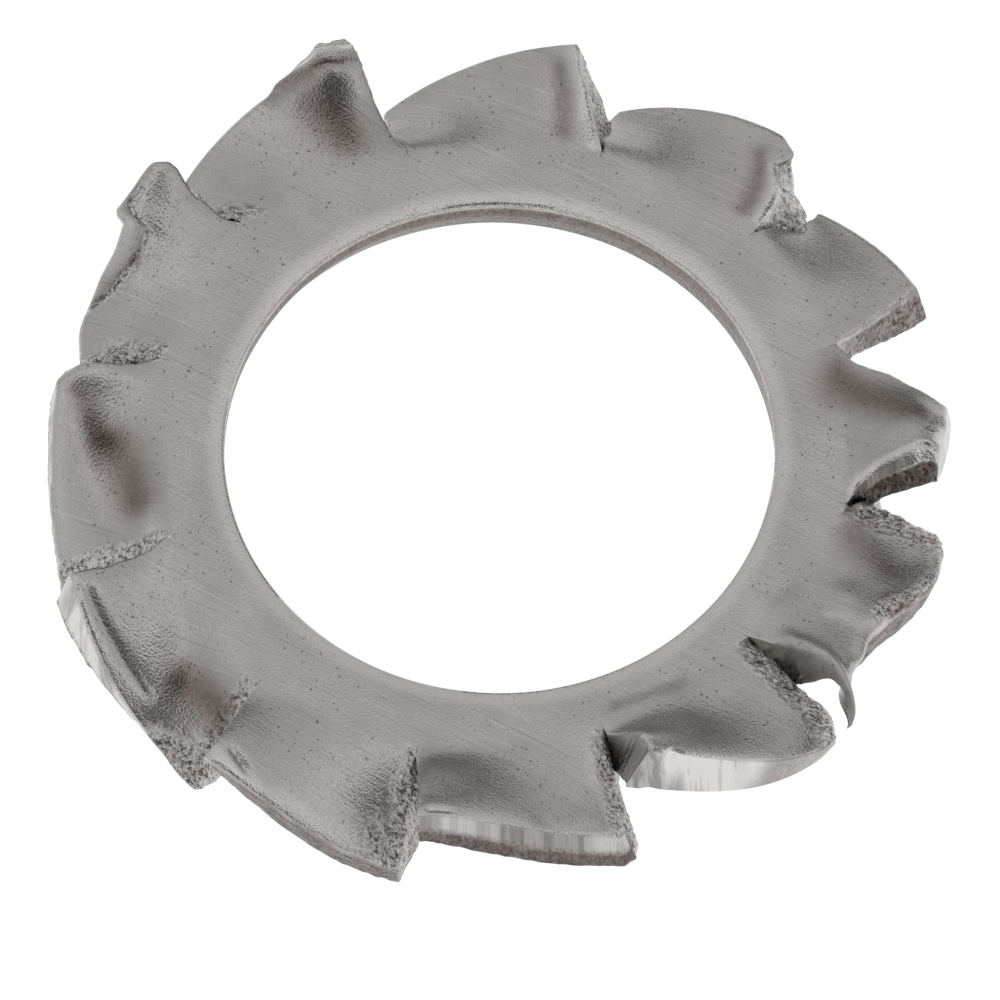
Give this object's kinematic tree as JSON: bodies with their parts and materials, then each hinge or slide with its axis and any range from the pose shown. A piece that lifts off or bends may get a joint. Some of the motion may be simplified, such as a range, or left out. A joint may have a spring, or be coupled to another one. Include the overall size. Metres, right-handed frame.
{
  "type": "toothed lock washer",
  "caption": "Flat spring ring with twisted teeth round its outer edge that bite under a screw head and stop it turning loose; the teeth are worn and bent.",
  "frame": {"origin": "on the bore axis, at half the thickness of the flat ring", "axes": "+Z along the bore axis, towards the side on which the clockwise corner of each tooth stands up; +X through the tooth whose corner was pressed flat; seen from +Z the angles run counter-clockwise"},
  "size_m": [0.0106, 0.0109, 0.0026],
  "materials": {
    "steel": "rolled strip with fine straight grain, rough sheared edges and small pits"
  },
  "bodies": {
    "root": {"lock_washer": "steel"}
  },
  "joints": []
}
